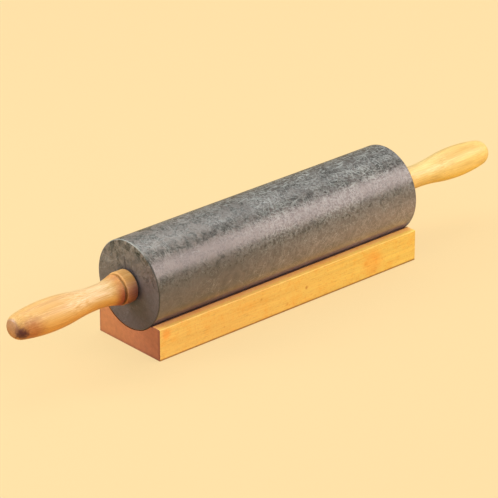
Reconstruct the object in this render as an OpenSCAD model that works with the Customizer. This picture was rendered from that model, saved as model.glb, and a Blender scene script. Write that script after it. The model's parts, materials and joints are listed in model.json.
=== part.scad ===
// Marble rolling pin on its wooden cradle.
// A stone barrel turns on a steel rod between two turned wooden handles. The rod runs in a nylon bushing
// let into each end of the stone, and is screwed into a brass insert in each handle. The pin lies in a
// trough cut along the top of a solid wooden block, and lifts straight out of it.
// The origin is on the table under the middle of the pin. X runs along the pin and Z is up.

/* [Barrel] */
// Diameter of the stone barrel
barrel_d = 66; // [50:1:90]
// Length of the stone barrel
barrel_l = 246; // [180:1:320]
// Radius polished onto each rim of the barrel
rim_r = 1.2; // [0.4:0.1:3]
// Gap all round the rod in the middle of the stone
bore_gap = 1; // [0.5:0.1:2.5]

/* [Rod and bearings] */
// Diameter of the steel rod
rod_d = 8; // [6:0.5:10]
// Length of rod held in each handle
rod_grip = 44; // [26:1:60]
// Bevel on the ends of the rod
rod_bevel = 0.8; // [0.2:0.1:1.5]
// Wall of a bushing's sleeve
bushing_wall = 4; // [2:0.5:5]
// Length of a bushing's sleeve in the stone, with its flange
bushing_l = 18; // [10:1:30]
// How far a bushing's flange reaches past its sleeve. The flange lies flush with the stone
flange_reach = 2.5; // [1:0.5:4]
// Thickness of a bushing's flange
flange_t = 1.6; // [1:0.1:3]
// Running clearance round the rod in a bushing
rod_clear = 0.06; // [0.02:0.01:0.1]
// Width of the ring of a thrust washer
washer_ring = 4.5; // [2:0.5:6]
// Thickness of a thrust washer
washer_t = 0.8; // [0.5:0.1:1.5]
// Play left on the stone's side of a thrust washer
end_play = 0.15; // [0.05:0.05:0.4]

/* [Handles] */
// Diameter of the collar beside the stone
collar_d = 24; // [22:0.5:30]
// Width of the collar
collar_w = 9.2; // [5:0.1:14]
// Radius on the collar's two outer edges
collar_edge_r = 0.8; // [0.3:0.1:1.5]
// Width of the turned groove between the collar and the neck
groove_w = 2.1; // [0.8:0.1:3]
// Depth of the turned groove
groove_h = 1.3; // [0.6:0.1:2]
// How far the flare beside the groove stands below the collar's rim
flare_step = 0.8; // [0.2:0.1:1.2]
// Distance from the collar to the thinnest place of the neck
neck_l = 19; // [12:1:26]
// Diameter of the neck at its thinnest
neck_d = 17; // [16:0.5:20]
// Distance from the thinnest place to the widest place of the grip
swell_l = 42; // [34:1:58]
// Diameter of the grip at its widest
grip_d = 23.5; // [22:0.5:30]
// Share of that distance over which the grip bulges outwards
bulge_share = 0.5; // [0.3:0.05:0.7]
// Radius that rounds the end of the grip
tip_r = 9.6; // [8:0.1:10.5]
// Diameter of the flat face that ends the grip
tip_face_d = 12; // [4:0.5:14]
// Wall of a brass insert
insert_wall = 2; // [1.2:0.1:3]
// Length of a brass insert
insert_l = 20; // [12:1:25]
// Bevel in the mouth of a brass insert
insert_bevel = 0.7; // [0.3:0.1:1]
// Gap round the rod in the wood past the insert
drill_gap = 0.5; // [0.2:0.1:1]
// Room left past the end of the rod in the wood
drill_over = 3; // [1:0.5:6]

/* [Cradle] */
// How far the cradle runs past the barrel at each end
cradle_over = 0; // [-4:0.5:10]
// Thickness of wood under the trough
cradle_floor = 14; // [8:0.5:25]
// Depth of the trough
trough_h = 10; // [5:0.5:20]
// Width of the flat land on each side of the trough
land_w = 8.7; // [5:0.1:16]
// Gap between the stone and the trough
trough_gap = 0.3; // [0.3:0.05:1]
// Bevel that eases the cradle's outer edges
cradle_bevel = 0.4; // [0.3:0.1:2]

/* [Hidden] */
$fn = 180;
// Sides of the wide circles that draw the grip
fine = 256;
// Overlap that keeps a cut from ending on a face
past = 1;
// Slope of a drill's point, as depth over radius
drill_point = 0.6;
// Hair's breadth by which each arc of the grip stands proud of the last, so that they cross and leave no ring
arc_lap = 0.003;

// Height of the pin's axis over the table
axis_z = cradle_floor + trough_gap + barrel_d / 2;
trough_r = barrel_d / 2 + trough_gap;
trough_half = sqrt(trough_h * (2 * trough_r - trough_h));
cradle_h = cradle_floor + trough_h;
cradle_w = 2 * (trough_half + land_w);
cradle_l = barrel_l + 2 * cradle_over;

// The rod's own side of each washer is pressed home by the handle, and the play is on the stone's side.
washer_at = end_play;
collar_at = washer_at + washer_t;
bore_d = rod_d + 2 * bore_gap;
bushing_d = rod_d + 2 * bushing_wall;
flange_d = bushing_d + 2 * flange_reach;
washer_d = rod_d + 2 * washer_ring;
insert_d = rod_d + 2 * insert_wall;
rod_l = barrel_l + 2 * (collar_at + rod_grip);

// Places along a handle, measured from the end of the stone
groove_at = collar_at + collar_w;
flare_at = groove_at + groove_w;
neck_at = groove_at + neck_l;
widest_at = neck_at + swell_l;

// The grip's outline is four arcs, each tangent to the next: a cove, the long hollow of the neck, the bulge
// of the grip and the round tip, which a flat face cuts off. What isn't given above about their radii and
// centres follows from the places and diameters there.
flare_d = collar_d - 2 * flare_step;
neck_r = neck_d / 2;
grip_r = grip_d / 2;
flare_rise = flare_d / 2 - neck_r;
cove_r = ((neck_at - flare_at) ^ 2 + flare_rise ^ 2) / (2 * flare_rise);
swell_rise = grip_r - neck_r;
both_r = (swell_l ^ 2 + swell_rise ^ 2) / (2 * swell_rise);
bulge_r = bulge_share * both_r;
hollow_r = both_r - bulge_r;
bulge_from = widest_at - bulge_share * swell_l;
tip_out = sqrt((bulge_r - tip_r) ^ 2 - (bulge_r - grip_r) ^ 2);
tip_centre = widest_at + tip_out;
tip_from = widest_at + tip_out * bulge_r / (bulge_r - tip_r);
tip_at = tip_centre + sqrt(tip_r ^ 2 - (tip_face_d / 2) ^ 2);

// Turns an outline about the pin's axis. The outline's x is the radius, and its y runs along the pin.
module turned() {
    translate([0, 0, axis_z]) rotate([0, 90, 0]) rotate_extrude() children();
}

// A straight round bar on the pin's axis, from one place to another along it
module axis_bar(d, from, to) {
    translate([from, 0, axis_z]) rotate([0, 90, 0]) cylinder(d = d, h = to - from);
}

// Puts a piece that is drawn from the end of the stone outwards on the right end of the pin.
module at_right_end() {
    translate([barrel_l / 2, 0, 0]) children();
}

module at_left_end() {
    mirror([1, 0, 0]) at_right_end() children();
}

// Draws a cut or piece at the right end for side 1 and at the left end for side -1.
module at_end(side) {
    if (side > 0) at_right_end() children();
    else at_left_end() children();
}

// Half the outline of a disc or bar with both outer edges rounded
module rounded_side(r, from, to, edge) {
    translate([0, from]) square([r - edge, to - from]);
    translate([0, from + edge]) square([r, to - from - 2 * edge]);
    for (y = [from + edge, to - edge]) translate([r - edge, y]) circle(edge);
}

// A block with its top and bottom corners bevelled, seen from one side and centred on x
module bevelled_side(width, height, bevel) {
    polygon([
        [-width / 2 + bevel, 0], [width / 2 - bevel, 0], [width / 2, bevel], [width / 2, height - bevel],
        [width / 2 - bevel, height], [-width / 2 + bevel, height], [-width / 2, height - bevel],
        [-width / 2, bevel]
    ]);
}

module cradle() {
    color("#dfa04e") difference() {
        intersection() {
            // End view, side view and plan of the block
            rotate([90, 0, 90]) linear_extrude(cradle_l + 2 * past, center = true)
                bevelled_side(cradle_w, cradle_h, cradle_bevel);
            rotate([90, 0, 0]) linear_extrude(cradle_w + 2 * past, center = true)
                bevelled_side(cradle_l, cradle_h, cradle_bevel);
            translate([0, -cradle_w / 2, -past]) linear_extrude(cradle_h + 2 * past)
                bevelled_side(cradle_l, cradle_w, cradle_bevel);
        }
        axis_bar(2 * trough_r, -cradle_l / 2 - past, cradle_l / 2 + past);
    }
}

module barrel() {
    color("#6f7068") difference() {
        turned() rounded_side(barrel_d / 2, -barrel_l / 2, barrel_l / 2, rim_r);
        axis_bar(bore_d, -barrel_l / 2 - past, barrel_l / 2 + past);
        for (side = [-1, 1]) at_end(side) {
            axis_bar(bushing_d, -bushing_l, past);
            axis_bar(flange_d, -flange_t, past);
        }
    }
}

module bushing() {
    color("#ece8dc") difference() {
        union() {
            axis_bar(bushing_d, -bushing_l, 0);
            axis_bar(flange_d, -flange_t, 0);
        }
        axis_bar(rod_d + 2 * rod_clear, -bushing_l - past, past);
    }
}

module washer() {
    color("#b9bdc0") difference() {
        axis_bar(washer_d, washer_at, washer_at + washer_t);
        axis_bar(rod_d, washer_at - past, washer_at + washer_t + past);
    }
}

module insert() {
    color("#c9a24a") difference() {
        axis_bar(insert_d, collar_at, collar_at + insert_l);
        axis_bar(rod_d, collar_at - past, collar_at + insert_l + past);
        translate([collar_at, 0, axis_z]) rotate([0, 90, 0])
            cylinder(d1 = rod_d + 2 * insert_bevel, d2 = rod_d, h = insert_bevel);
    }
}

module axle_rod() {
    color("#a9adb1") turned() polygon([
        [0, -rod_l / 2], [rod_d / 2 - rod_bevel, -rod_l / 2], [rod_d / 2, -rod_l / 2 + rod_bevel],
        [rod_d / 2, rod_l / 2 - rod_bevel], [rod_d / 2 - rod_bevel, rod_l / 2], [0, rod_l / 2]
    ]);
}

// A stretch of the handle's outline that is hollowed by an arc. The arc is lowest at the neck.
module hollowed(from, to, arc_r) {
    difference() {
        translate([0, from]) square([max(flare_d, grip_d) / 2 + past, to - from]);
        translate([neck_r + arc_r, neck_at]) circle(arc_r, $fn = fine);
    }
}

// A stretch of the handle's outline that lies inside a circle
module bulged(from, to, arc_r, centre) {
    intersection() {
        translate([0, from]) square([grip_r + past, to - from]);
        translate(centre) circle(arc_r, $fn = fine);
    }
}

module handle_outline() {
    rounded_side(collar_d / 2, collar_at, groove_at, collar_edge_r);
    translate([0, groove_at - collar_edge_r])
        square([flare_d / 2 - groove_h, groove_w + 2 * collar_edge_r]);
    hollowed(flare_at, neck_at, cove_r);
    hollowed(neck_at, bulge_from, hollow_r);
    bulged(neck_at, tip_from, bulge_r + arc_lap, [grip_r - bulge_r, widest_at]);
    bulged(widest_at, tip_at, tip_r + 2 * arc_lap, [0, tip_centre]);
}

module handle() {
    color("#e3b474") difference() {
        turned() handle_outline();
        axis_bar(insert_d, collar_at - past, collar_at + insert_l);
        axis_bar(rod_d + 2 * drill_gap, collar_at, collar_at + rod_grip + drill_over);
        translate([collar_at + rod_grip + drill_over, 0, axis_z]) rotate([0, 90, 0])
            cylinder(d1 = rod_d + 2 * drill_gap, d2 = 0, h = drill_point * (rod_d / 2 + drill_gap));
    }
}

cradle();
barrel();
axle_rod();
at_left_end() bushing();  // left_bushing
at_right_end() bushing();  // right_bushing
at_left_end() washer();  // left_washer
at_right_end() washer();  // right_washer
at_left_end() insert();  // left_insert
at_right_end() insert();  // right_insert
at_left_end() handle();  // left_handle
at_right_end() handle();  // right_handle
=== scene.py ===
"""Finishes the marble rolling pin and its cradle, and adds the floor, the lamps and the camera."""

import json
import math

import bpy
from mathutils import Matrix, Vector

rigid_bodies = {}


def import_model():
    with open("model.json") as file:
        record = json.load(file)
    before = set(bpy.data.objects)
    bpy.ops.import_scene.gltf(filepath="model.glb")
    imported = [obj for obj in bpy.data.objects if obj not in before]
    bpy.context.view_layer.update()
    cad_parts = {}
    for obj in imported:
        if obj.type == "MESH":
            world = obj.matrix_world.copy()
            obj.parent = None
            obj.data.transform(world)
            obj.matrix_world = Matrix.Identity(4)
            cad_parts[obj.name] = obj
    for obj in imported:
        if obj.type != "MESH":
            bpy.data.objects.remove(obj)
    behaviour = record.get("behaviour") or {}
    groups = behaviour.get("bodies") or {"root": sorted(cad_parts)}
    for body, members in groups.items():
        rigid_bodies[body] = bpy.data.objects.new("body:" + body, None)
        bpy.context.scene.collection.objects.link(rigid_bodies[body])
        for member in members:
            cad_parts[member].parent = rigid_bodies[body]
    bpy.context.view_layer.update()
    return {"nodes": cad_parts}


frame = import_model()

bl_info = {
    "name": "Marble rolling pin",
    "version": (1, 0, 0),
    "blender": (4, 5, 0),
    "location": "3D View > Sidebar > Rolling pin",
    "description": "Finishes a stone rolling pin with wooden handles on a wooden cradle",
    "category": "Object",
}

PHOTO_SIDE_PX = 498
SENSOR_M = 0.036
BARREL_AXIS_Z = 0.0473
CRADLE_FRONT_Y = -0.0325
SMOOTH_BELOW_DEG = 28.0
FLOOR_SIZE_M = 12.0
FLOOR_GAP_M = 0.0002
LAMP_AIM = (0.0, 0.0, 0.04)

# The short hairs' directions in the stone, in degrees about X, Y and Z
HAIR_TURNS = ((10, 35, 20), (60, -40, 75), (-35, 70, 130), (25, -65, -40), (80, 15, 160))
# The long hairs' directions, in degrees within one plane that is tipped about X
LONG_HAIR_TURNS = (15, -42, 68, 118, -12)
LONG_HAIR_TILT = 25
# Some factors below deepen shadows that the lamps leave too weak.
# Bands of painted light and shade along the barrel: heights where each is 0 and 1, factors, and
# more factors to the right
STONE_BANDS = (
    (0.066, 0.04, (1.3, 1.11, 1.07), (1.62, 1.63, 1.66)),
    (0.061, 0.065, (1.09, 1.05, 1.07), (1.06, 1.09, 1.11)),
    (0.0695, 0.074, (0.95, 0.96, 0.95), (0.46, 0.45, 0.44)),
)
# Patches on the barrel: where each rises and falls along X, then in height, and its factor
STONE_PATCHES = (
    ((-0.075, -0.05), (0.02, -0.01), (0.07, 0.075), (0.09, 0.085), 0.87),
    ((-0.01, 0.01), (0.07, 0.05), (0.063, 0.067), (0.076, 0.073), 0.88),
    ((0.05, 0.09), (0.2, 0.15), (0.071, 0.073), (0.08, 0.077), 1.36),
    ((-0.3, -0.2), (-0.05, -0.08), (0.07, 0.073), (0.08, 0.077), 1.2),
)
# Belts of small dark dots over and under the barrel's sheen: where each rises and falls in height
DOT_BELTS = (((0.07, 0.072), (0.08, 0.078)), ((0.053, 0.057), (0.0625, 0.06)))
# Dark spots at the left tip: centre, inner and outer radius, factors
TIP_DARK_SPOTS = (
    ((-0.2232, -0.0095, 0.045), 0.005, 0.0115, (0.2, 0.1, 0.42)),
    ((-0.215, -0.0105, 0.0455), 0.006, 0.0175, (0.7, 0.5, 0.52)),
)
TIP_SPOT_RAGGED_M = 0.006
# Specks and blotches on the cradle's front: X, height, radius, factors
CRADLE_SPECKS = (
    (-0.0287, 0.0171, 0.0012, (0.85, 0.68, 0.5)),
    (0.0145, 0.0125, 0.0014, (0.72, 0.5, 0.35)),
    (-0.0038, 0.0058, 0.0012, (0.9, 0.75, 0.6)),
    (0.0731, 0.0124, 0.0022, (0.95, 0.8, 0.6)),
    (0.08, 0.012, 0.011, (1.02, 0.82, 0.68)),
    (-0.1165, 0.0195, 0.0045, (1.02, 0.76, 0.62)),
)


class PinLooks(bpy.types.PropertyGroup):
    """Colours of the stone and the woods"""

    stone_dark: bpy.props.FloatVectorProperty(
        name="Dark stone", description="Colour of the stone's dark patches",
        subtype="COLOR", size=3, min=0.0, max=1.0, default=(0.033, 0.039, 0.03))
    stone_pale: bpy.props.FloatVectorProperty(
        name="Pale stone", description="Colour between the stone's patches",
        subtype="COLOR", size=3, min=0.0, max=1.0, default=(0.155, 0.148, 0.132))
    vein_colour: bpy.props.FloatVectorProperty(
        name="Veins", description="Colour of the thin veins in the stone", subtype="COLOR", size=3,
        min=0.0, max=1.0, default=(0.35, 0.4, 0.38))
    handle_colour: bpy.props.FloatVectorProperty(
        name="Handle wood", description="Main colour of the turned handles",
        subtype="COLOR", size=3, min=0.0, max=1.0, default=(0.775, 0.525, 0.18))
    cradle_colour: bpy.props.FloatVectorProperty(
        name="Cradle wood", description="Main colour of the cradle", subtype="COLOR", size=3,
        min=0.0, max=1.0, default=(0.81, 0.562, 0.14))
    end_grain_colour: bpy.props.FloatVectorProperty(
        name="End grain", description="Colour of the cradle's sawn ends", subtype="COLOR", size=3,
        min=0.0, max=1.0, default=(0.6, 0.25, 0.105))


class StageLooks(bpy.types.PropertyGroup):
    """The camera's place and the light on the pin"""

    azimuth: bpy.props.FloatProperty(
        name="Azimuth", description="Turn of the camera round the pin, from straight in front",
        subtype="ANGLE", default=math.radians(-41.82))
    elevation: bpy.props.FloatProperty(
        name="Elevation", description="Height of the camera over the level", subtype="ANGLE",
        default=math.radians(25.24))
    distance: bpy.props.FloatProperty(
        name="Distance", description="From the camera to the point it looks at", subtype="DISTANCE",
        unit="LENGTH", default=2.338)
    target: bpy.props.FloatVectorProperty(
        name="Target", description="The point that the camera looks at",
        subtype="XYZ", unit="LENGTH", size=3, default=(0.0, 0.0128, 0.0315))
    focal_px: bpy.props.FloatProperty(
        name="Focal length", description="Focal length in pixels of the square picture",
        default=3259.8)
    backdrop: bpy.props.FloatVectorProperty(
        name="Backdrop", description="Colour of the floor as the camera sees it",
        subtype="COLOR", size=3, min=0.0, max=1.0, default=(0.965, 0.733, 0.383))
    key_power: bpy.props.FloatProperty(
        name="Key lamp", description="Power of the lamp at the front right",
        subtype="POWER", default=35.5)
    back_power: bpy.props.FloatProperty(
        name="Back lamp", description="Power of the lamp over the back of the pin", subtype="POWER",
        default=5.0)
    side_power: bpy.props.FloatProperty(
        name="Side lamp", description="Power of the weak lamp at the left",
        subtype="POWER", default=4.0)


def deselect_all():
    """Leaves no object selected."""
    for obj in bpy.context.view_layer.objects:
        obj.select_set(False)


def node_object(name):
    return frame["nodes"][name]


def add_node(tree, kind, place, **values):
    """Adds a node at a place in its editor, with the given settings."""
    node = tree.nodes.new(kind)
    node.location = place
    for key, value in values.items():
        setattr(node, key, value)
    return node


def set_inputs(node, **values):
    """Sets sockets by name, with _ in place of each space."""
    for key, value in values.items():
        node.inputs[key.replace("_", " ")].default_value = value


def new_group(name, inputs, outputs):
    """A shader node group with the given sockets. Returns the tree with its two end nodes."""
    tree = bpy.data.node_groups.new(name, "ShaderNodeTree")
    for label, kind, value in inputs:
        socket = tree.interface.new_socket(label, in_out="INPUT", socket_type=kind)
        socket.default_value = value
    for label, kind in outputs:
        tree.interface.new_socket(label, in_out="OUTPUT", socket_type=kind)
    start = add_node(tree, "NodeGroupInput", (-900, 0))
    end = add_node(tree, "NodeGroupOutput", (900, 0))
    return tree, start, end


def new_material(name):
    """A material with an empty node tree but for its shader and its output"""
    material = bpy.data.materials.new(name)
    material.use_nodes = True
    tree = material.node_tree
    tree.nodes.clear()
    shader = add_node(tree, "ShaderNodeBsdfPrincipled", (600, 0))
    output = add_node(tree, "ShaderNodeOutputMaterial", (900, 0))
    tree.links.new(shader.outputs["BSDF"], output.inputs["Surface"])
    return material, tree, shader


def ramp(tree, place, value, stops):
    """The colour of a value on a ramp with the given stops"""
    node = add_node(tree, "ShaderNodeValToRGB", place)
    elements = node.color_ramp.elements
    while len(elements) < len(stops):
        elements.new(0.5)
    for element, (position, colour) in zip(elements, stops):
        element.position = position
        element.color = (*colour[:3], 1.0)
    tree.links.new(value, node.inputs["Fac"])
    return node.outputs["Color"]


def grey(value):
    """Three equal colour values"""
    return (value, value, value)


def mix_colours(tree, place, factor, first, second, blend="MIX"):
    """A colour mix. Each of factor, first and second is a socket or a plain value."""
    node = add_node(tree, "ShaderNodeMix", place, data_type="RGBA", blend_type=blend)
    sockets = (node.inputs[0], node.inputs[6], node.inputs[7])
    for socket, value in zip(sockets, (factor, first, second)):
        if isinstance(value, bpy.types.NodeSocket):
            tree.links.new(value, socket)
        elif isinstance(value, (int, float)):
            socket.default_value = value
        else:
            socket.default_value = (*value, 1.0)
    return node.outputs[2]


def tint(tree, place, mask, colour, factors):
    """Multiplies a colour by three factors where the mask is 1."""
    return mix_colours(tree, place, mask, colour, factors, "MULTIPLY")


def tint_all(tree, place, colour, rows):
    """Tints a colour with each mask and its factors in turn."""
    for step, (mask, factors) in enumerate(rows):
        colour = tint(tree, (place[0] + 25 * step, place[1]), mask, colour, factors)
    return colour


def maths(tree, place, operation, first, second=0.0, clamp=False):
    """A Math node. Each value is a socket or a number."""
    node = add_node(tree, "ShaderNodeMath", place, operation=operation, use_clamp=clamp)
    for socket, value in zip(node.inputs, (first, second)):
        if isinstance(value, bpy.types.NodeSocket):
            tree.links.new(value, socket)
        else:
            socket.default_value = value
    return node.outputs[0]


def product(tree, place, first, *others):
    """Multiplies a socket by each of the other sockets or numbers."""
    for step, other in enumerate(others):
        first = maths(tree, (place[0] + 100 * step, place[1]), "MULTIPLY", first, other)
    return first


def one_less(tree, place, mask, share=1.0):
    """1 less a share of a mask"""
    part = product(tree, (place[0] - 100, place[1]), mask, share)
    return maths(tree, place, "SUBTRACT", 1.0, part)


def spread(tree, place, value, limits, ends=(0.0, 1.0), curve="LINEAR"):
    """Goes from one end to the other while a value goes from one limit to the other."""
    node = add_node(tree, "ShaderNodeMapRange", place, interpolation_type=curve)
    set_inputs(node, From_Min=limits[0], From_Max=limits[1], To_Min=ends[0], To_Max=ends[1])
    tree.links.new(value, node.inputs["Value"])
    return node.outputs["Result"]


def between(tree, place, value, low, high, ends=(0.0, 1.0)):
    """Goes smoothly from 0 at the low value to 1 at the high one, or between two other ends."""
    return spread(tree, place, value, (low, high), ends, "SMOOTHSTEP")


def window(tree, place, value, rise, fall):
    """Rises from 0 to 1 over the first two limits and falls back to 0 over the other two."""
    return product(tree, (place[0] + 200, place[1]), between(tree, place, value, *rise),
                   between(tree, (place[0], place[1] - 200), value, *fall))


def object_points(tree, place, scale=(1.0, 1.0, 1.0), shift=(0.0, 0.0, 0.0)):
    """The object coordinates as one vector, scaled and shifted"""
    coordinates = add_node(tree, "ShaderNodeTexCoord", (place[0] - 200, place[1]))
    mapping = add_node(tree, "ShaderNodeMapping", place)
    mapping.inputs["Scale"].default_value = scale
    mapping.inputs["Location"].default_value = shift
    tree.links.new(coordinates.outputs["Object"], mapping.inputs["Vector"])
    return mapping.outputs["Vector"]


def object_parts(tree, place):
    """The object coordinates X, Y and Z as three sockets"""
    coordinates = add_node(tree, "ShaderNodeTexCoord", (place[0] - 200, place[1]))
    parts = add_node(tree, "ShaderNodeSeparateXYZ", place)
    tree.links.new(coordinates.outputs["Object"], parts.inputs["Vector"])
    return parts.outputs


def noise(tree, place, vector, scale, detail=4.0, roughness=0.5, distortion=0.0):
    """A noise from 0 to 1"""
    node = add_node(tree, "ShaderNodeTexNoise", place)
    set_inputs(node, Scale=scale, Detail=detail, Roughness=roughness, Distortion=distortion)
    tree.links.new(vector, node.inputs["Vector"])
    return node.outputs["Fac"]


def clumps(tree, place, vector, scale, low, high, **shape):
    """Soft-edged clumps of noise: 0 below the low value and 1 above the high one"""
    level = noise(tree, (place[0] - 300, place[1]), vector, scale, **shape)
    return between(tree, place, level, low, high)


def bump(tree, shader, place, height, depth_m):
    """Gives a shader the relief of a height."""
    node = add_node(tree, "ShaderNodeBump", place)
    set_inputs(node, Strength=1.0, Distance=depth_m)
    tree.links.new(height, node.inputs["Height"])
    tree.links.new(node.outputs["Normal"], shader.inputs["Normal"])


def grain_group():
    """Wood grain that runs along X: bands of early and late wood, fine fibres and short pores"""
    tree, start, end = new_group(
        "wood_grain",
        [("Vector", "NodeSocketVector", (0.0, 0.0, 0.0)), ("Fibre Scale", "NodeSocketFloat", 900.0),
         ("Band Scale", "NodeSocketFloat", 60.0)],
        [("Bands", "NodeSocketFloat"), ("Fibres", "NodeSocketFloat"), ("Pores", "NodeSocketFloat")])
    stretched = []
    for row, along in enumerate((0.05, 0.03, 0.08)):
        squash = add_node(tree, "ShaderNodeVectorMath", (-600, -250 * row), operation="MULTIPLY")
        squash.inputs[1].default_value = (along, 1.0, 1.0)
        tree.links.new(start.outputs["Vector"], squash.inputs[0])
        stretched.append(squash.outputs[0])
    for row, (label, scale_name) in enumerate((("Bands", "Band Scale"), ("Fibres", "Fibre Scale"))):
        node = add_node(tree, "ShaderNodeTexNoise", (-200, -250 * row))
        set_inputs(node, Detail=3.0, Roughness=0.6, Distortion=0.3)
        tree.links.new(stretched[row], node.inputs["Vector"])
        tree.links.new(start.outputs[scale_name], node.inputs["Scale"])
        tree.links.new(node.outputs["Fac"], end.inputs[label])
    flecks = noise(tree, (-200, -500), stretched[2], 1600.0, detail=1.0)
    tree.links.new(spread(tree, (100, -500), flecks, (0.64, 0.74)), end.inputs["Pores"])
    return tree


def place_group(tree, group, place, vector, **values):
    """Puts a node group into a tree."""
    node = add_node(tree, "ShaderNodeGroup", place)
    node.node_tree = group
    tree.links.new(vector, node.inputs["Vector"])
    set_inputs(node, **values)
    return node


def thin_lines(tree, place, vector, scale, width, detail, distortion):
    """Curving hairlines where a noise crosses its middle value: 1 on a line, 0 beside it"""
    level = noise(tree, place, vector, scale, detail=detail, roughness=0.6, distortion=distortion)
    away = maths(tree, (place[0] + 100, place[1]), "SUBTRACT", level, 0.5)
    away = maths(tree, (place[0] + 200, place[1]), "ABSOLUTE", away)
    return between(tree, (place[0] + 400, place[1]), away, 0.0, width, ends=(1.0, 0.0))


def round_spot(tree, place, centre, inner_m, outer_m, ragged=0.0):
    """1 within the inner radius of a point, 0 past the outer one; noise can break its edge"""
    coordinates = add_node(tree, "ShaderNodeTexCoord", (place[0] - 600, place[1]))
    points = coordinates.outputs["Object"]
    reach = add_node(tree, "ShaderNodeVectorMath", (place[0] - 400, place[1]), operation="DISTANCE")
    reach.inputs[1].default_value = centre
    tree.links.new(points, reach.inputs[0])
    away = reach.outputs["Value"]
    if ragged > 0.0:
        wobble = noise(tree, (place[0] - 400, place[1] - 200), points, 500.0)
        wobble = product(tree, (place[0] - 200, place[1] - 200), wobble, ragged)
        away = maths(tree, (place[0] - 200, place[1]), "ADD", away, wobble)
    return between(tree, place, away, outer_m, inner_m)


def hairs(tree, place, turn_deg, scale, low, high, stretch):
    """Straight hairs in one direction: 1 on a hair, 0 beside it"""
    coordinates = add_node(tree, "ShaderNodeTexCoord", (place[0] - 400, place[1]))
    mapping = add_node(tree, "ShaderNodeMapping", (place[0] - 200, place[1]), vector_type="TEXTURE")
    mapping.inputs["Rotation"].default_value = [math.radians(angle) for angle in turn_deg]
    mapping.inputs["Scale"].default_value = (stretch, 1.0, 1.0)
    tree.links.new(coordinates.outputs["Object"], mapping.inputs["Vector"])
    level = noise(tree, place, mapping.outputs["Vector"], scale, detail=1.0, distortion=0.1)
    return between(tree, (place[0] + 200, place[1]), level, low, high)


def crossing_hairs(tree, place, turns, *shape):
    """Hairs in several directions, laid over one another"""
    total = 0.0
    for row, turn in enumerate(turns):
        layer = hairs(tree, (place[0], place[1] - 200 * row), turn, *shape)
        total = maths(tree, (place[0] + 500, place[1] - 200 * row), "MAXIMUM", layer, total)
    return total


def from_axis(tree, place, spot_y, height):
    """Distance from the barrel's axis"""
    rise = maths(tree, (place[0] - 400, place[1]), "SUBTRACT", height, BARREL_AXIS_Z)
    rise = product(tree, (place[0] - 300, place[1]), rise, rise)
    across = product(tree, (place[0] - 300, place[1] - 200), spot_y, spot_y)
    return maths(tree, place, "SQRT", maths(tree, (place[0] - 150, place[1]), "ADD", rise, across))


def rim_line(tree, place, spot_x, spot_y, height):
    """A mask of the barrel's two rims, and one that tells their front from their back"""
    out = maths(tree, (place[0], place[1] + 200), "ABSOLUTE", spot_x)
    away = from_axis(tree, place, spot_y, height)
    rim = product(tree, (place[0] + 400, place[1]),
                  between(tree, (place[0] + 200, place[1] + 200), out, 0.1221, 0.1224),
                  between(tree, (place[0] + 200, place[1]), away, 0.0323, 0.0326), 0.7)
    return rim, between(tree, (place[0] + 200, place[1] - 400), spot_y, -0.014, -0.022)


def short_vein(tree, spot_y, height):
    """A short dark vein above the middle of the barrel's ends"""
    lean = product(tree, (-1200, 1800), height, 0.2)
    away = maths(tree, (-1100, 1800), "SUBTRACT", spot_y, lean)
    away = maths(tree, (-1000, 1800), "ADD", away, 0.0092)
    away = maths(tree, (-900, 1800), "ABSOLUTE", away)
    return product(tree, (-600, 1800), between(tree, (-800, 1800), away, 0.0012, 0.0004),
                   window(tree, (-800, 2000), height, (0.0565, 0.0585), (0.069, 0.067)))


def stone_ground(tree, points, height, looks):
    """Patches and specks: their colour, how pale each spot is and how strong its marks are"""
    patches = clumps(tree, (-1300, 500), points, 135.0, 0.37, 0.6,
                     detail=6.0, roughness=0.7, distortion=1.3)
    lively = between(tree, (-1300, 800), height, 0.05, 0.074, ends=(0.25, 1.0))
    sheen = window(tree, (-1400, 1000), height, (0.062, 0.065), (0.0735, 0.0705))
    lively = product(tree, (-1050, 900), lively, one_less(tree, (-1100, 900), sheen, 0.34))
    calm = maths(tree, (-1100, 700), "SUBTRACT", patches, 0.6)
    calm = product(tree, (-1000, 700), calm, lively)
    calm = maths(tree, (-900, 700), "ADD", calm, 0.6, clamp=True)
    colour = mix_colours(tree, (-900, 500), calm, looks.stone_dark, looks.stone_pale)
    specks = clumps(tree, (-1300, 100), points, 620.0, 0.56, 0.66, detail=3.0, roughness=0.7)
    specks = product(tree, (-1100, 100), specks, lively, 0.5)
    return mix_colours(tree, (-700, 500), specks, colour, looks.stone_dark), calm, lively


def short_hairs(tree, spot_x, clouds, lively):
    """Short hairs, stronger in the clouds, high on the barrel and to its right"""
    hair = crossing_hairs(tree, (-1600, 0), HAIR_TURNS, 820.0, 0.6, 0.66, 11.0)
    return product(tree, (-650, 0), hair,
                   spread(tree, (-900, 200), clouds, (0.0, 1.0), (0.3, 0.85)),
                   maths(tree, (-650, 100), "POWER", lively, 1.25),
                   between(tree, (-600, 1200), spot_x, -0.1, 0.02, ends=(0.55, 1.25)))


def long_hairs(tree, place):
    """Long hairs in a plane that leans like the barrel's upper front"""
    tilt = Matrix.Rotation(math.radians(LONG_HAIR_TILT), 3, "X")
    turns = []
    for turn in LONG_HAIR_TURNS:
        turned = tilt @ Matrix.Rotation(math.radians(turn), 3, "Z")
        turns.append([math.degrees(angle) for angle in turned.to_euler()])
    return crossing_hairs(tree, place, turns, 640.0, 0.64, 0.69, 12.0)


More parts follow.
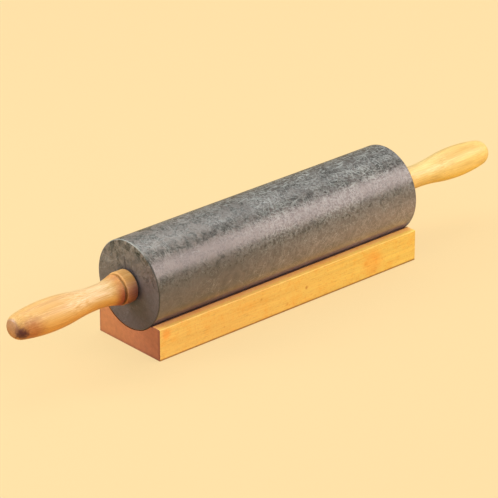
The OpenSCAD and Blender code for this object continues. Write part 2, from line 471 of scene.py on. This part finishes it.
def side_bands(tree, colour, spot_x, height, on_side):
    """The barrel's bands of painted light and shade, stronger or weaker towards its right end"""
    along = between(tree, (-400, 1100), spot_x, -0.1, 0.12)
    for row, (low, high, factors, end_factors) in enumerate(STONE_BANDS):
        band = between(tree, (-400, 900 + 300 * row), height, low, high)
        band = product(tree, (-200, 900 + 300 * row), band, on_side)
        toward_end = product(tree, (-100, 900 + 300 * row), band, along)
        colour = tint_all(tree, (50 + 100 * row, 400), colour, (
            (band, factors), (toward_end, end_factors)))
    return colour


def side_shade_and_marks(tree, colour, points, spot, clouds, on_side, looks):
    """Long hairs, a strip of painted shade over the cradle, patches, dots and the mottled back"""
    spot_x, spot_y, height = spot
    hair = long_hairs(tree, (-1600, -2600))
    far_end = between(tree, (-1100, -1700), spot_x, 0.06, 0.11)
    front_hair = product(tree, (-900, -2600),
                         between(tree, (-1100, -2300), height, 0.065, 0.0715),
                         between(tree, (-1100, -2100), spot_x, -0.07, 0.01),
                         one_less(tree, (-700, -2100), far_end, 0.6),
                         between(tree, (-1100, -1900), clouds, -0.4, 0.8), on_side, hair, 0.65)
    colour = mix_colours(tree, (400, 400), front_hair, colour, looks.vein_colour)
    # Painted shade: a dark, bluish strip low on the barrel's front, where it meets the cradle
    strip = product(tree, (-900, -3800),
                    window(tree, (-1300, -3800), height, (0.0311, 0.0282), (0.0225, 0.026)),
                    between(tree, (-1300, -4200), spot_y, -0.018, -0.021), on_side)
    rows = [(strip, (0.36, 0.41, 1.0))]
    for row, (x_rise, x_fall, z_rise, z_fall, factor) in enumerate(STONE_PATCHES):
        place = (-1300, -4800 - 800 * row)
        patch = product(tree, (-900, place[1]), window(tree, place, spot_x, x_rise, x_fall),
                        window(tree, (place[0], place[1] - 400), height, z_rise, z_fall), on_side)
        rows.append((patch, grey(factor)))
    dots = clumps(tree, (-1300, -8000), points, 380.0, 0.5, 0.6, detail=3.0, roughness=0.6)
    for row, (rise, fall) in enumerate(DOT_BELTS):
        belt = window(tree, (-1300, -8400 - 400 * row), height, rise, fall)
        belt = product(tree, (-900, -8400 - 400 * row), belt, dots, on_side)
        rows.append((belt, (0.72, 0.7, 0.66)))
    back = product(tree, (-900, -9400), between(tree, (-1300, -9200), spot_y, -0.009, -0.001),
                   between(tree, (-1300, -9400), spot_x, -0.08, -0.03),
                   between(tree, (-1300, -9600), height, 0.05, 0.06), on_side)
    mottle = clumps(tree, (-1300, -9800), points, 260.0, 0.44, 0.58, roughness=0.65)
    rows.append((back, grey(0.87)))
    rows.append((product(tree, (-500, -9800), mottle, back), (0.67, 0.64, 0.59)))
    colour = tint_all(tree, (425, 400), colour, rows)
    back_hair = product(tree, (-500, -9400), hair, back, 0.45)
    return mix_colours(tree, (700, 400), back_hair, colour, looks.vein_colour)


def end_shade_and_marks(tree, colour, spot_y, height, blots, on_end):
    """The barrel's ends: paler, with painted shade on the foot and in a ring round the collar,
    blots and a vein
    """
    # Painted shade, darkest at the lower front of each end
    slope = maths(tree, (-1200, 1300), "ADD", product(tree, (-1300, 1300), spot_y, 0.6), height)
    foot = between(tree, (-1000, 1300), slope, 0.085, 0.01)
    # Painted shade in a ring round the collar
    ring = between(tree, (300, 1500), from_axis(tree, (100, 1500), spot_y, height), 0.0168, 0.0124)
    blots = product(tree, (-1000, 2300), between(tree, (-1300, 2300), blots, 0.46, 0.58),
                    between(tree, (-1300, 2500), height, 0.052, 0.068))
    rows = [(on_end, (1.36, 1.29, 1.38))]
    for row, (mask, factors) in enumerate((
            (foot, (0.61, 0.54, 0.68)), (ring, (0.6, 0.63, 0.72)), (blots, (0.62, 0.66, 0.7)),
            (short_vein(tree, spot_y, height), (0.4, 0.4, 0.45)))):
        rows.append((product(tree, (450, 900 + 200 * row), mask, on_end), factors))
    return tint_all(tree, (750, 400), colour, rows)


def stone_material(looks):
    """Polished grey-green marble: ragged dark patches, pale hairs, thin veins and specks"""
    material, tree, shader = new_material("grey_green_marble")
    points = object_points(tree, (-2000, 0), shift=(0.31, 0.12, 0.07))
    spot = object_parts(tree, (-1600, 800))
    spot_x, spot_y, height = spot
    out = maths(tree, (-800, 1500), "ABSOLUTE", spot_x)
    on_end = between(tree, (-600, 1500), out, 0.1222, 0.1228)
    on_side = one_less(tree, (-400, 1500), on_end)
    clouds = clumps(tree, (-1300, 300), points, 28.0, 0.35, 0.65)
    colour, calm, lively = stone_ground(tree, points, height, looks)
    hair = short_hairs(tree, spot_x, clouds, lively)
    colour = mix_colours(tree, (-400, 400), hair, colour, looks.vein_colour)
    veins = thin_lines(tree, (-1600, -1200), points, 26.0, 0.005, detail=5.0, distortion=0.7)
    veins = product(tree, (-650, -300), veins, 0.35)
    colour = mix_colours(tree, (-150, 400), veins, colour, looks.vein_colour)
    colour = side_bands(tree, colour, spot_x, height, on_side)
    colour = side_shade_and_marks(tree, colour, points, spot, clouds, on_side, looks)
    blots = noise(tree, (-1600, 2300), points, 170.0, roughness=0.6)
    streak = product(tree, (-900, 2900),
                     window(tree, (-1300, 2900), height, (0.0722, 0.074), (0.0785, 0.076)),
                     between(tree, (-1300, 3100), blots, 0.4, 0.6))
    colour = tint(tree, (725, 400), streak, colour, (0.68, 0.69, 0.68))
    colour = end_shade_and_marks(tree, colour, spot_y, height, blots, on_end)
    rim, front = rim_line(tree, (-800, 3400), spot_x, spot_y, height)
    # Painted highlight along the top and back of each rim, painted shade along its front
    line = mix_colours(tree, (600, 800), front, looks.vein_colour, looks.stone_dark)
    colour = mix_colours(tree, (900, 400), rim, colour, line)
    tree.links.new(colour, shader.inputs["Base Color"])
    gloss = spread(tree, (300, -100), calm, (0.0, 1.0), (0.23, 0.33))
    tree.links.new(gloss, shader.inputs["Roughness"])
    shader.inputs["IOR"].default_value = 1.6
    return material


def wood_ground(tree, points, grain, wood, scales, pale, deep, greys, pores):
    """Banded wood with fibres and pores. Returns its colour and its fibres."""
    figure = place_group(
        tree, grain, (-900, 0), points, Fibre_Scale=scales[0], Band_Scale=scales[1])
    bands = ramp(tree, (-600, 200), figure.outputs["Bands"], [
        (0.35, tuple(min(1.0, c * pale) for c in wood)),
        (0.68, tuple(c * f for c, f in zip(wood, deep)))])
    fibres = figure.outputs["Fibres"]
    shades = ramp(tree, (-600, -50), fibres, [(0.3, grey(greys[0])), (0.7, grey(greys[1]))])
    colour = mix_colours(tree, (-300, 200), 1.0, bands, shades, "MULTIPLY")
    pore_share, pore_colour = pores
    pore = product(tree, (-300, -200), figure.outputs["Pores"], pore_share)
    return mix_colours(tree, (-50, 200), pore, colour, pore_colour), fibres


def collar_rows(tree, out, spot_y, height):
    """Masks and factors of painted shade on the groove, the flare and the collar, darkest at their
    lower front, and of painted light on the collar
    """
    low_front = maths(tree, (-700, 1400), "ADD", spot_y, height)
    front = between(tree, (-500, 1400), low_front, 0.052, 0.034)
    groove = window(tree, (-500, 800), out, (0.1329, 0.1334), (0.1356, 0.1351))
    groove_front = maths(tree, (-300, 850), "MAXIMUM", front, 0.4)
    flare = window(tree, (-500, 400), out, (0.1351, 0.1354), (0.144, 0.135))
    collar = between(tree, (-500, 1200), out, 0.134, 0.1325)
    inner = between(tree, (-500, 1600), out, 0.133, 0.124)
    return [
        (product(tree, (-200, 700), groove, groove_front), (0.2, 0.13, 0.36)),
        (flare, (0.98, 0.72, 0.6)),
        (product(tree, (-200, 500), flare, front), (0.46, 0.21, 0.42)),
        (collar, (1.18, 1.08, 1.12)),
        (product(tree, (-200, 1200), collar, front), (0.5, 0.39, 0.8)),
        (product(tree, (-200, 1600), front, inner), (0.6, 0.54, 0.9))]


def handle_material(looks, grain):
    """Pale turned hardwood under a satin lacquer"""
    material, tree, shader = new_material("pale_turned_wood")
    points = object_points(tree, (-1200, 0))
    colour, fibres = wood_ground(
        tree, points, grain, looks.handle_colour, scales=(1500.0, 130.0), pale=1.12,
        deep=(0.88, 0.8, 0.68), greys=(0.9, 1.06), pores=(0.35, (0.45, 0.2, 0.07)))
    spot_x, spot_y, height = object_parts(tree, (-900, 800))
    out = maths(tree, (-700, 800), "ABSOLUTE", spot_x)
    on_right = between(tree, (-300, 2700), spot_x, 0.12, 0.16)
    # Share of the painted light and shade and of the streaks below: all of it on the left handle,
    # less on the right
    left_share = one_less(tree, (-200, 2500), on_right, 0.6)
    streaks = between(tree, (-300, 1000), fibres, 0.5, 0.7)
    streaks = product(tree, (-100, 1000), left_share, streaks, 0.5)
    colour = mix_colours(tree, (100, 400), streaks, colour, (0.95, 0.8, 0.42))
    # Painted highlight on the upper side of each neck
    neck = product(tree, (100, 1300),
                   window(tree, (-300, 1300), out, (0.138, 0.15), (0.2, 0.165)),
                   between(tree, (-300, 1700), height, 0.046, 0.051), left_share,
                   between(tree, (-300, 1900), fibres, 0.3, 0.62), 0.6)
    colour = mix_colours(tree, (125, 400), neck, colour, (0.93, 0.8, 0.52))
    # Painted shade on the lower side of each handle, weaker on the right one
    lower = between(tree, (-500, 1000), height, 0.0555, 0.0395)
    rows = [(product(tree, (-300, 1100), left_share, lower), (0.79, 0.53, 0.17))]
    rows += collar_rows(tree, out, spot_y, height)
    for row, (place, inner, outer, factors) in enumerate(TIP_DARK_SPOTS):
        dark_spot = round_spot(tree, (-300, 2100 + 400 * row), place, inner, outer, TIP_SPOT_RAGGED_M)
        rows.append((dark_spot, factors))
    # Painted light, yellower, under the right handle
    low_right = product(tree, (-100, 3100), on_right,
                        between(tree, (-300, 3100), height, 0.046, 0.039))
    rows += [
        (between(tree, (-300, 2500), out, 0.223, 0.2249), (0.62, 0.57, 1.0)),
        (on_right, (1.06, 1.22, 1.12)),
        # Painted shade along the tops of both handles
        (between(tree, (-300, 2900), height, 0.052, 0.058), (0.94, 0.86, 0.76)),
        (low_right, (1.14, 1.12, 0.44))]
    colour = tint_all(tree, (150, 400), colour, rows)
    tree.links.new(colour, shader.inputs["Base Color"])
    set_inputs(shader, Roughness=0.46, Specular_IOR_Level=0.4,
               Coat_Weight=0.35, Coat_Roughness=0.32)
    bump(tree, shader, (300, -300), fibres, 0.00006)
    return material


def trough_rows(tree, upwards, spot):
    """Masks and factors of painted shade in the trough, at its end edges, on the land before it and
    along its front lip
    """
    spot_x, spot_y, height = spot
    trough = product(tree, (400, -1600), upwards,
                     between(tree, (200, -1600), height, 0.0236, 0.0228))
    out = maths(tree, (200, -2600), "ABSOLUTE", spot_x)
    trough_end = product(tree, (500, -2600), trough,
                         between(tree, (300, -2600), out, 0.1205, 0.122))
    land = product(tree, (400, -2400), upwards,
                   between(tree, (200, -2400), spot_y, -0.0305, -0.0275))
    lip = product(tree, (500, -1800),
                  window(tree, (200, -1800), spot_y, (-0.0253, -0.0244), (-0.02, -0.022)),
                  between(tree, (200, -2200), height, 0.0231, 0.0235))
    return [
        (trough, (0.84, 0.76, 0.78)), (trough_end, (0.26, 0.2, 0.27)),
        (land, (0.98, 0.82, 1.13)), (lip, (0.17, 0.135, 0.28))]


def cradle_material(looks, grain):
    """Honey-coloured plank with flecks along its length and darker sawn ends"""
    material, tree, shader = new_material("honey_plank")
    points = object_points(tree, (-1200, 0))
    colour, fibres = wood_ground(
        tree, points, grain, looks.cradle_colour, scales=(900.0, 70.0), pale=1.1,
        deep=(0.95, 0.86, 0.76), greys=(0.92, 1.04), pores=(0.5, (0.42, 0.16, 0.03)))
    geometry = add_node(tree, "ShaderNodeNewGeometry", (-600, -450))
    facing = add_node(tree, "ShaderNodeSeparateXYZ", (-400, -450))
    tree.links.new(geometry.outputs["Normal"], facing.inputs["Vector"])
    spot = object_parts(tree, (-400, 1200))
    spot_x, spot_y, height = spot
    upwards = between(tree, (0, 700), facing.outputs["Z"], 0.5, 0.9)
    mottle = clumps(tree, (-300, 1600), points, 95.0, 0.45, 0.7, detail=5.0, roughness=0.65)
    grain_dots = clumps(tree, (-300, 1800), points, 700.0, 0.5, 0.75, detail=2.0, roughness=0.6)
    rows = [
        (mottle, (1.0, 0.88, 0.72)),
        (grain_dots, (0.94, 0.8, 0.66)),
        # Painted light on faces that point up
        (upwards, (1.45, 1.42, 1.45)),
        # Painted shade on faces that point down and along the foot
        (between(tree, (0, 900), facing.outputs["Z"], -0.3, -0.6), (0.7, 0.6, 0.55)),
        (between(tree, (-200, 1000), height, 0.002, 0.0007), (0.46, 0.33, 0.3)),
        # Painted light, brighter and yellower towards the right end
        (between(tree, (-200, 1200), spot_x, -0.08, 0.12), (1.03, 1.15, 1.0))]
    for row, (along, up, radius, factors) in enumerate(CRADLE_SPECKS):
        centre = (along, CRADLE_FRONT_Y, up)
        speck = round_spot(tree, (0, 2200 + 400 * row), centre, radius * 0.3, radius * 1.3)
        rows.append((speck, factors))
    colour = tint_all(tree, (0, 300), colour, rows)
    sawn = maths(tree, (-200, -450), "ABSOLUTE", facing.outputs["X"])
    sawn = maths(tree, (0, -450), "GREATER_THAN", sawn, 0.5)
    rings = noise(tree, (-300, -700), points, 260.0, roughness=0.6)
    end_grain = ramp(tree, (0, -700), rings, [
        (0.3, tuple(c * 0.78 for c in looks.end_grain_colour)),
        (0.7, tuple(looks.end_grain_colour))])
    colour = mix_colours(tree, (350, 100), sawn, colour, end_grain)
    side = maths(tree, (0, -900), "ABSOLUTE", spot_y)
    edge = maths(tree, (200, -900), "MAXIMUM", between(tree, (0, -1100), side, 0.0295, 0.0325),
                 between(tree, (0, -1300), height, 0.0035, 0.0))
    redder = between(tree, (200, -1300), spot_y, 0.03, -0.03)
    rows = [
        (product(tree, (400, -900), edge, sawn), (0.74, 0.66, 0.78)),
        (product(tree, (400, -1100), sawn, redder), (0.88, 0.78, 0.98))]
    rows += trough_rows(tree, upwards, spot)
    colour = tint_all(tree, (375, 100), colour, rows)
    tree.links.new(colour, shader.inputs["Base Color"])
    shader.inputs["Roughness"].default_value = 0.5
    bump(tree, shader, (300, -300), fibres, 0.00008)
    return material


def metal_material(name, colour, roughness):
    """Drawn or stamped metal with fine lines round it"""
    material, tree, shader = new_material(name)
    points = object_points(tree, (-900, 0), scale=(1.0, 0.05, 0.05))
    lines = noise(tree, (-600, 0), points, 4000.0, detail=2.0)
    tone = ramp(tree, (-300, 100), lines, [(0.3, tuple(c * 0.85 for c in colour)), (0.7, colour)])
    tree.links.new(tone, shader.inputs["Base Color"])
    gloss = ramp(tree, (-300, -200), lines, [(0.3, grey(roughness)), (0.7, grey(roughness + 0.1))])
    tree.links.new(gloss, shader.inputs["Roughness"])
    shader.inputs["Metallic"].default_value = 1.0
    return material


def nylon_material():
    """Natural moulded nylon"""
    material, tree, shader = new_material("natural_nylon")
    cloud = noise(tree, (-600, 0), object_points(tree, (-900, 0)), 300.0, detail=3.0)
    tone = ramp(tree, (-300, 100), cloud, [(0.3, (0.74, 0.71, 0.62)), (0.7, (0.82, 0.8, 0.72))])
    tree.links.new(tone, shader.inputs["Base Color"])
    shader.inputs["Roughness"].default_value = 0.5
    return material


def dress(names, material):
    """Gives pieces a material and smooths their round faces."""
    for name in names:
        obj = node_object(name)
        obj.data.materials.clear()
        obj.data.materials.append(material)
        deselect_all()
        obj.select_set(True)
        bpy.context.view_layer.objects.active = obj
        bpy.ops.object.shade_smooth_by_angle(angle=math.radians(SMOOTH_BELOW_DEG))
    deselect_all()


def shared_grain():
    """The one wood grain that the handles and the cradle share"""
    return bpy.data.node_groups.get("wood_grain") or grain_group()


class ROLLINGPIN_OT_barrel(bpy.types.Operator):
    """Finish the stone barrel"""

    bl_idname = "rollingpin.barrel"
    bl_label = "Barrel"

    def execute(self, context):
        dress(["barrel"], stone_material(context.scene.pin_looks))
        return {"FINISHED"}


class ROLLINGPIN_OT_handles(bpy.types.Operator):
    """Finish the two turned handles"""

    bl_idname = "rollingpin.handles"
    bl_label = "Handles"

    def execute(self, context):
        wood = handle_material(context.scene.pin_looks, shared_grain())
        dress(["left_handle", "right_handle"], wood)
        return {"FINISHED"}


class ROLLINGPIN_OT_cradle(bpy.types.Operator):
    """Finish the wooden cradle"""

    bl_idname = "rollingpin.cradle"
    bl_label = "Cradle"

    def execute(self, context):
        dress(["cradle"], cradle_material(context.scene.pin_looks, shared_grain()))
        return {"FINISHED"}


class ROLLINGPIN_OT_fittings(bpy.types.Operator):
    """Finish the rod, the bushings, the washers and the inserts"""

    bl_idname = "rollingpin.fittings"
    bl_label = "Fittings"

    def execute(self, context):
        dress(["axle_rod"], metal_material("drawn_steel", (0.58, 0.58, 0.58), 0.25))
        dress(["left_washer", "right_washer"],
              metal_material("zinc_plate", (0.66, 0.67, 0.69), 0.32))
        dress(["left_insert", "right_insert"],
              metal_material("turned_brass", (0.76, 0.55, 0.22), 0.28))
        dress(["left_bushing", "right_bushing"], nylon_material())
        return {"FINISHED"}


def floor_material(stage):
    """Pale paper that the camera sees at its own colour, with a soft share of real shadow"""
    material, tree, shader = new_material("pale_floor")
    shader.inputs["Roughness"].default_value = 0.9
    shader.inputs["Specular IOR Level"].default_value = 0.0
    shader.inputs["Base Color"].default_value = (*stage.backdrop, 1.0)
    ray = add_node(tree, "ShaderNodeLightPath", (200, 300))
    output = tree.nodes["Material Output"]
    surface = shader.outputs["BSDF"]
    for row, (kind, share, strength) in enumerate((
            ("Is Camera Ray", 0.8, 1.0), ("Is Glossy Ray", 1.0, 0.42))):
        glow = add_node(tree, "ShaderNodeEmission", (600, -400 - 200 * row))
        glow.inputs["Color"].default_value = (*stage.backdrop, 1.0)
        glow.inputs["Strength"].default_value = strength
        mix = add_node(tree, "ShaderNodeMixShader", (800, -100 - 200 * row))
        tree.links.new(product(tree, (400, 300), ray.outputs[kind], share), mix.inputs[0])
        tree.links.new(surface, mix.inputs[1])
        tree.links.new(glow.outputs["Emission"], mix.inputs[2])
        surface = mix.outputs["Shader"]
    tree.links.new(surface, output.inputs["Surface"])
    return material


def aim(obj, place, target):
    """Puts an object at a place, looking along its own -Z at the target with its +Y upwards."""
    back = (place - target).normalized()
    right = Vector((0.0, 0.0, 1.0)).cross(back).normalized()
    up = back.cross(right)
    turn = Matrix((right, up, back)).transposed().to_4x4()
    obj.matrix_world = Matrix.Translation(place) @ turn


def add_camera(stage):
    """A camera at the photograph's place, with the photograph's angle of view"""
    target = Vector(stage.target)
    level = math.cos(stage.elevation)
    back = Vector((math.sin(stage.azimuth) * level, -math.cos(stage.azimuth) * level,
                   math.sin(stage.elevation)))
    data = bpy.data.cameras.new("photo_camera")
    data.sensor_width = SENSOR_M * 1000.0
    data.lens = stage.focal_px * SENSOR_M * 1000.0 / PHOTO_SIDE_PX
    data.clip_start = 0.05
    data.clip_end = 20.0
    camera = bpy.data.objects.new("photo_camera", data)
    bpy.context.scene.collection.objects.link(camera)
    aim(camera, target + back * stage.distance, target)
    bpy.context.scene.camera = camera


def add_lamp(name, place, size_m, power, colour):
    """A soft rectangular lamp that is aimed at the pin"""
    data = bpy.data.lights.new(name, "AREA")
    data.shape = "RECTANGLE"
    data.size, data.size_y = size_m
    data.energy = power
    data.color = colour
    lamp = bpy.data.objects.new(name, data)
    bpy.context.scene.collection.objects.link(lamp)
    aim(lamp, Vector(place), Vector(LAMP_AIM))


def soft_room(stage):
    """A room that is warm at the horizon and neutral overhead. The camera sees the backdrop."""
    world = bpy.data.worlds.new("soft_room")
    world.use_nodes = True
    tree = world.node_tree
    background = tree.nodes["Background"]
    direction = add_node(tree, "ShaderNodeTexCoord", (-900, 0))
    parts = add_node(tree, "ShaderNodeSeparateXYZ", (-700, 0))
    tree.links.new(direction.outputs["Generated"], parts.inputs["Vector"])
    height = between(tree, (-500, 0), parts.outputs["Z"], 0.0, 0.7)
    colour = mix_colours(tree, (-250, 0), height, (0.7, 0.56, 0.42), (1.2, 1.16, 1.13))
    tree.links.new(colour, background.inputs["Color"])
    background.inputs["Strength"].default_value = 0.6
    backdrop = add_node(tree, "ShaderNodeBackground", (0, -200))
    backdrop.inputs["Color"].default_value = (*stage.backdrop, 1.0)
    ray = add_node(tree, "ShaderNodeLightPath", (0, 300))
    mix = add_node(tree, "ShaderNodeMixShader", (300, 0))
    tree.links.new(ray.outputs["Is Camera Ray"], mix.inputs[0])
    tree.links.new(background.outputs["Background"], mix.inputs[1])
    tree.links.new(backdrop.outputs["Background"], mix.inputs[2])
    tree.links.new(mix.outputs["Shader"], tree.nodes["World Output"].inputs["Surface"])
    return world


class ROLLINGPIN_OT_stage(bpy.types.Operator):
    """Add the floor, the lamps and the camera"""

    bl_idname = "rollingpin.stage"
    bl_label = "Stage"

    def execute(self, context):
        scene = context.scene
        stage = scene.pin_stage
        scene.view_settings.view_transform = "Standard"
        deselect_all()
        bpy.ops.mesh.primitive_plane_add(size=FLOOR_SIZE_M, location=(0.0, 0.0, -FLOOR_GAP_M))
        floor = context.active_object
        floor.name = "floor"
        floor.data.materials.append(floor_material(stage))
        scene.world = soft_room(stage)
        add_lamp("key_lamp", (1.39, -1.32, 1.24), (2.4, 1.08), stage.key_power, (1.0, 0.79, 0.765))
        add_lamp("back_lamp", (0.5, 0.43, 1.33), (1.1, 0.8), stage.back_power, (0.96, 0.95, 0.94))
        add_lamp("side_lamp", (-0.7, 0.42, 0.5), (0.4, 0.4), stage.side_power, (1.0, 0.93, 0.88))
        add_camera(stage)
        return {"FINISHED"}


PIECES = (ROLLINGPIN_OT_stage, ROLLINGPIN_OT_barrel, ROLLINGPIN_OT_handles, ROLLINGPIN_OT_cradle,
          ROLLINGPIN_OT_fittings)


class ROLLINGPIN_PT_panel(bpy.types.Panel):
    """Lists the pieces of the rolling pin"""

    bl_label = "Rolling pin"
    bl_space_type = "VIEW_3D"
    bl_region_type = "UI"
    bl_category = "Rolling pin"

    def draw(self, context):
        column = self.layout.column()
        for piece in PIECES:
            column.operator(piece.bl_idname)


CLASSES = (PinLooks, StageLooks, *PIECES, ROLLINGPIN_PT_panel)


def register():
    """Makes the pieces and their settings known to Blender."""
    for cls in CLASSES:
        bpy.utils.register_class(cls)
    bpy.types.Scene.pin_looks = bpy.props.PointerProperty(type=PinLooks)
    bpy.types.Scene.pin_stage = bpy.props.PointerProperty(type=StageLooks)


def unregister():
    """Takes the pieces and their settings out again."""
    del bpy.types.Scene.pin_stage
    del bpy.types.Scene.pin_looks
    for cls in reversed(CLASSES):
        bpy.utils.unregister_class(cls)


def main():
    """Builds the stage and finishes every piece."""
    register()
    bpy.ops.rollingpin.stage()
    bpy.ops.rollingpin.barrel()
    bpy.ops.rollingpin.handles()
    bpy.ops.rollingpin.cradle()
    bpy.ops.rollingpin.fittings()


if __name__ == "__main__":
    main()
